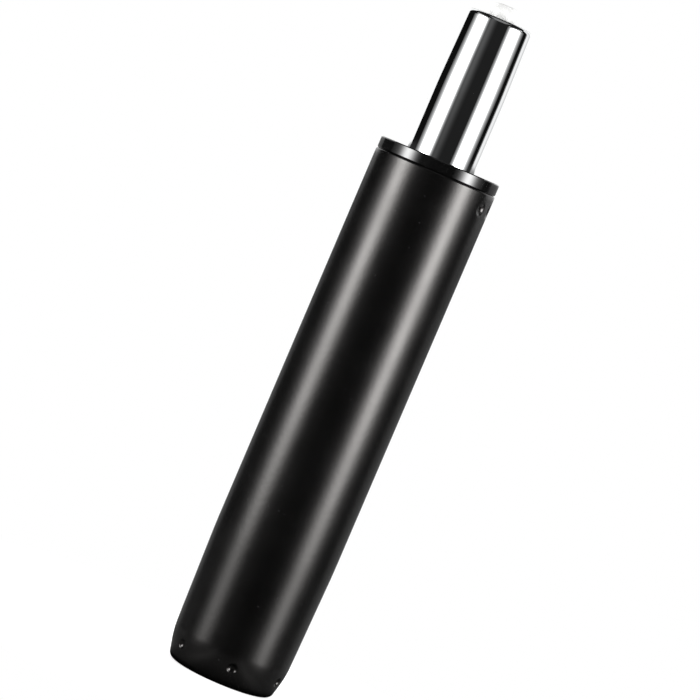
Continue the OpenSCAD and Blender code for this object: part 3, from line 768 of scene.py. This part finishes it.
# %% [markdown]
# ## Softboxes and flags
# A chrome tube is only as good as what it mirrors. In a studio a tall softbox stands on each side and
# black cards, called flags, all round, and the tube shows them as white and black stripes. Here each
# of them is a plane that faces the lift and is hidden from the camera. An area lamp could be a softbox
# too, but it shines evenly, and a plane's glow can follow any pattern of nodes, as bright here and as
# dark there as a real diffuser.


# %% Card tools
def plane(x, y):
    """A level plane between two x and two y, in metres."""
    bm = bmesh.new()
    bmesh.ops.create_grid(bm, x_segments=1, y_segments=1, size=0.5)
    bmesh.ops.scale(bm, vec=(x[1] - x[0], y[1] - y[0], 1), verts=bm.verts)
    bmesh.ops.translate(bm, vec=(sum(x) / 2, sum(y) / 2, 0), verts=bm.verts)
    return bm


def card(name, bearing, distance, across, height, material):
    """A plane that faces the lift. Bearing is in degrees from the camera's side, to the right."""
    bm = plane(across, height)
    bmesh.ops.rotate(bm, matrix=Matrix.Rotation(math.pi / 2, 3, "X"), verts=bm.verts)
    made = stage_piece(name, bm, material)
    angle = math.radians(bearing)
    made.location = (distance * math.sin(angle), -distance * math.cos(angle), 0)
    made.rotation_euler = (0, 0, angle)
    return made


def ramp(tree, value, pairs):
    """Levels that follow (position, level) pairs, and stay constant beyond the first and the last."""
    low, high = pairs[0][0], pairs[-1][0]
    share = add(tree, "ShaderNodeMapRange", {"Value": value, "From Min": low, "From Max": high})
    levels = add(tree, "ShaderNodeValToRGB", {"Fac": share.outputs[0]})
    stops = levels.color_ramp.elements
    for _ in pairs[len(stops):]:
        stops.new(0.5)
    for stop, (position, level) in zip(stops, pairs):
        stop.position = (position - low) / (high - low)
        stop.color = (level, level, level, 1)
    return levels.outputs["Color"]


def shine(tree, level):
    """Makes the card glow at this level, a number or a socket."""
    glow = add(tree, "ShaderNodeEmission", {"Strength": level})
    tree.links.new(glow.outputs[0], surface_of(tree))


print("card tools ready")

# %% [markdown]
# ## The softboxes' light
# A softbox is hot in its middle and falls off to its sides. The hot middle is a bell curve across it,
# and a wider, weaker bell lies under that. Each bell is the exponential of a squared distance, a few
# Math nodes. Along the height a Color Ramp follows: brightest beside the chrome, weaker beside the
# paint, and dark at the top, for the dark line along the chrome's rim. Far below the floor it
# brightens again. The photograph's camera doesn't find that part in the lift, but one that looks down
# does, and without it the paint would have no highlights from there.


# %% Softbox light
HOT_SPREAD, HOT_LEVEL = 0.122, 17
WIDE_SPREAD = 0.245


def bell(tree, position, middle, spread, level):
    """A bell curve of this middle, spread and height across a card, in metres."""
    aside = add(tree, "ShaderNodeMath", {0: position, 1: middle}, operation="SUBTRACT").outputs[0]
    square = add(tree, "ShaderNodeMath", {0: aside, 1: aside}, operation="MULTIPLY")
    power = add(tree, "ShaderNodeMath", {
        0: square.outputs[0], 1: -0.5 / spread ** 2}, operation="MULTIPLY")
    curve = add(tree, "ShaderNodeMath", {0: power.outputs[0]}, operation="EXPONENT")
    return add(tree, "ShaderNodeMath", {0: curve.outputs[0], 1: level}, operation="MULTIPLY").outputs[0]


def softbox_light(name, sampled, wide_middle, wide_level, pairs):
    """Two bells of light across a softbox, times these (height, level) pairs along it."""
    material, tree, place = stage_light(name, sampled)
    axes = add(tree, "ShaderNodeSeparateXYZ", {"Vector": place}).outputs
    hot = bell(tree, axes["X"], 0, HOT_SPREAD, HOT_LEVEL)
    wide = bell(tree, axes["X"], wide_middle, WIDE_SPREAD, wide_level)
    sideways = add(tree, "ShaderNodeMath", {0: hot, 1: wide}, operation="ADD").outputs[0]
    along = ramp(tree, axes["Z"], pairs)
    shine(tree, add(tree, "ShaderNodeMath", {0: sideways, 1: along}, operation="MULTIPLY").outputs[0])
    return material


print("a softbox glows at", HOT_LEVEL, "in its middle")

# %% [markdown]
# ## The softboxes
# The softboxes are the lamps of this scene: what they throw on the button and the floor comes mostly
# from their hot middles. Each is cut into five panels that share its light. Rays are aimed at the hot
# panel alone, and find the others by chance. Aimed at a whole softbox, most of them would land where
# it is dim, and the button would be grainy.


# %% Softboxes
SOFTBOX_DISTANCE = 0.8
SOFTBOX_INNER, SOFTBOX_OUTER = 0.46, 0.65
SOFTBOX_LOW, SOFTBOX_HIGH = -0.9, 0.6
HOT_HALF, HOT_LOW, HOT_HIGH = 0.25, 0.02, 0.46


def softbox(name, bearing, wide_shift, wide_level, pairs):
    """A softbox in five panels, the same on either side, with inner towards the camera."""
    side = math.copysign(1, bearing)
    hot_light = softbox_light(name + "_hot", True, side * wide_shift, wide_level, pairs)
    dim_light = softbox_light(name + "_dim", False, side * wide_shift, wide_level, pairs)
    full_height = (SOFTBOX_LOW, SOFTBOX_HIGH)
    for panel, start, end, height, material in [
            ("hot", -HOT_HALF, HOT_HALF, (HOT_LOW, HOT_HIGH), hot_light),
            ("top", -HOT_HALF, HOT_HALF, (HOT_HIGH, SOFTBOX_HIGH), dim_light),
            ("low", -HOT_HALF, HOT_HALF, (SOFTBOX_LOW, HOT_LOW), dim_light),
            ("inner", -SOFTBOX_INNER, -HOT_HALF, full_height, dim_light),
            ("outer", HOT_HALF, SOFTBOX_OUTER, full_height, dim_light)]:
        across = sorted((side * start, side * end))
        made = card(f"{name}_{panel}", bearing, SOFTBOX_DISTANCE, across, height, material)
        made.visible_camera = False


LEFT_PAIRS = [
    (-0.6, 0.6), (-0.34, 0.04), (-0.2, 0.08), (-0.12, 0.18), (-0.08, 0.12), (-0.03, 0.07),
    (0.03, 0.5), (0.1, 0.72), (0.195, 0.66), (0.215, 0.95), (0.38, 0.95), (0.5, 0)]
RIGHT_PAIRS = [
    (-0.6, 0.7), (-0.34, 0.06), (-0.2, 0.12), (-0.12, 0.26), (-0.08, 0.17), (-0.03, 0.13),
    (0.03, 0.67), (0.1, 0.82), (0.195, 0.78), (0.215, 0.98), (0.38, 0.98), (0.5, 0)]
softbox("softbox_left", bearing=-61, wide_shift=0.12, wide_level=1.25, pairs=LEFT_PAIRS)
softbox("softbox_right", bearing=60.5, wide_shift=0.07, wide_level=1.45, pairs=RIGHT_PAIRS)
print("two softboxes at", SOFTBOX_DISTANCE, "m")

# %% [markdown]
# ## The flags
# Black cards close the gaps, so that the paint stays black between its two highlights. The cards
# behind the lift are dark as high as the paint goes and white above, which gives the chrome its
# bright edges. A strip straight behind stays dark, because the flange's top face, seen at a low
# angle, reflects it. The two side flags glow far down, for views from above, as the softboxes do.
# Neighbours overlap by a degree, so that no light leaks through between them.

# %% Flags
FLAG_DISTANCE = 1.1
FLAG_LOW, FLAG_TOP = -1.0, 1.2
FLAG_OVERLAP = 1
CHROME_LINE, CHROME_FADE = 0.2185, 0.004
LOW_GLOW = [(-0.45, 1.4), (-0.22, 0.12), (-0.12, 0.035)]
BEHIND_PAINT = [(0.06, 0.22), (0.15, 0.16), (0.205, 0.03), (0.212, 0.25)]
reflected_only = []


def two_levels(below, above):
    """One level for the paint and another above the chrome line."""
    return [(CHROME_LINE, below), (CHROME_LINE + CHROME_FADE, above)]


def flag(name, start, end, material):
    """Stands a card at the flags' distance, from one bearing to the next."""
    half = FLAG_DISTANCE * math.tan(math.radians(end - start + FLAG_OVERLAP) / 2)
    height = (FLAG_LOW, FLAG_TOP)
    made = card(name, (start + end) / 2, FLAG_DISTANCE, (-half, half), height, material)
    reflected_only.append(made)


FLAGS = [
    ("flag_front", -5, 34, two_levels(0.018, 0.018)),
    ("flag_left", -138, -96, LOW_GLOW + two_levels(0.035, 0.006)),
    ("flag_right", 96, 117, LOW_GLOW + two_levels(0.035, 0.006)),
    ("flag_edge", 117, 121, two_levels(0.1, 0.25)),
    ("back_left", -175, -138, BEHIND_PAINT + two_levels(0.25, 1.25)),
    ("back_right", 121, 140, BEHIND_PAINT + two_levels(0.25, 1.15)),
    ("back_line", 140, 154, BEHIND_PAINT + two_levels(0.25, 0.85)),
    ("back_middle", 154, 175, BEHIND_PAINT + two_levels(0.25, 1.25)),
    ("back_dark", 175, 185, two_levels(0.02, 0.02))]
for name, start, end, pairs in FLAGS:
    flag_light, tree, place = stage_light(name)
    height = add(tree, "ShaderNodeSeparateXYZ", {"Vector": place}).outputs["Z"]
    shine(tree, ramp(tree, height, pairs))
    flag(name, start, end, flag_light)
print(len(FLAGS), "flags set up")

# %% [markdown]
# ## The grey flag
# One flag isn't black. Left of the camera a grey card, with a soft middle of its own, gives the dark
# front of the chrome its pale grey band. It is a little brighter near the top of the chrome.

# %% Grey flag
GREY_LEVEL, GREY_BASE = 0.08, 0.016
GREY_MIDDLE, GREY_SPREAD = -0.115, 0.174
GREY_GAINS = [(0.22, 0.85), (0.32, 1.3)]
soft_grey, tree, place = stage_light("soft_grey")
axes = add(tree, "ShaderNodeSeparateXYZ", {"Vector": place}).outputs
sideways = bell(tree, axes["X"], GREY_MIDDLE, GREY_SPREAD, GREY_LEVEL)
gain = ramp(tree, axes["Z"], GREY_GAINS)
grey = add(tree, "ShaderNodeMath", {0: sideways, 1: gain, 2: GREY_BASE}, operation="MULTIPLY_ADD")
shine(tree, grey.outputs[0])
flag("flag_grey", -36, -5, soft_grey)
print("grey flag at", FLAG_DISTANCE, "m")

# %% [markdown]
# ## The dark table and its painted shadow
# A card lies flat under the lift, for its foot to mirror. It glows black close to the lift, a painted
# shadow of the lift on the table, and a little paler further out, and a painted sheen at either side
# brightens the two highlights of the foot.

# %% Table
TABLE_HALF, TABLE_DROP = 0.06, 0.02 * MM
TABLE_SHADOW_R, TABLE_PALE, TABLE_LEVEL = 0.024, 0.034, 0.14
SHEEN_X, SHEEN_SPREAD, SHEEN_GAIN = 0.021, 0.0035, 1.8


def flat_card(name, x, y, height, material):
    """A level card between two x and two y, in metres, that is only mirrored."""
    bm = plane(x, y)
    bmesh.ops.translate(bm, vec=(0, 0, height), verts=bm.verts)
    reflected_only.append(stage_piece(name, bm, material))


table_painted_shadow_glow, tree, place = stage_light("table_painted_shadow_glow")
away = add(tree, "ShaderNodeVectorMath", {0: place}, operation="LENGTH").outputs["Value"]
# painted shadow: the table's glow is black near the axis, where the lift would shade it, and paler outside
rings = ramp(tree, away, [(TABLE_SHADOW_R, 0), (TABLE_PALE, TABLE_LEVEL)])
axes = add(tree, "ShaderNodeSeparateXYZ", {"Vector": place}).outputs
sideways = add(tree, "ShaderNodeMath", {0: axes["X"]}, operation="ABSOLUTE").outputs[0]
sheen = bell(tree, sideways, SHEEN_X, SHEEN_SPREAD, SHEEN_GAIN)
sheeny = add(tree, "ShaderNodeMath", {0: rings, 1: sheen, 2: rings}, operation="MULTIPLY_ADD")
shine(tree, sheeny.outputs[0])
table_span = (-TABLE_HALF, TABLE_HALF)
flat_card("table", table_span, table_span, -TABLE_DROP, table_painted_shadow_glow)
print("table", 2 * TABLE_HALF, "m wide")

# %% [markdown]
# ## The black ceiling
# Overhead, a black ceiling gives the rim of the chrome its dark line. In front it is grey in the
# middle, which gives that line the pale glint that faces the camera.

# %% Ceiling
CEILING_HALF, CEILING_LEVEL = 1.4, 0.015
GLINT_HALF, GLINT_LEVEL = 0.4, 0.25
ceiling_black, tree, _ = stage_light("ceiling_black")
shine(tree, CEILING_LEVEL)
glint_grey, tree, _ = stage_light("glint_grey")
shine(tree, GLINT_LEVEL)
full_span, glint_span = (-CEILING_HALF, CEILING_HALF), (-GLINT_HALF, GLINT_HALF)
flat_card("ceiling_left", (-CEILING_HALF, -GLINT_HALF), full_span, FLAG_TOP, ceiling_black)
flat_card("ceiling_right", (GLINT_HALF, CEILING_HALF), full_span, FLAG_TOP, ceiling_black)
flat_card("ceiling_back", glint_span, (0, CEILING_HALF), FLAG_TOP, ceiling_black)
flat_card("ceiling_glint", glint_span, (-CEILING_HALF, 0), FLAG_TOP, glint_grey)
print("ceiling at", FLAG_TOP, "m")

# %% [markdown]
# ## Cards that are only mirrored
# Flags, table and ceiling would darken the floor and the button if they stood in the light's way, and
# their glow would spill on both. So they show in reflections only: no shadow, no light on a matt
# surface, and nothing for the camera. The softboxes are lamps, so they are hidden from the camera
# alone, which was done where they were made.

# %% Hide the cards
for made in reflected_only:
    made.visible_camera = False
    made.visible_diffuse = False
    made.visible_shadow = False
    made.visible_transmission = False
print(len(reflected_only), "cards are seen in reflections only")

# %% [markdown]
# The Standard view shows colours as they are written.

# %% Finish
bpy.context.scene.view_settings.view_transform = "Standard"
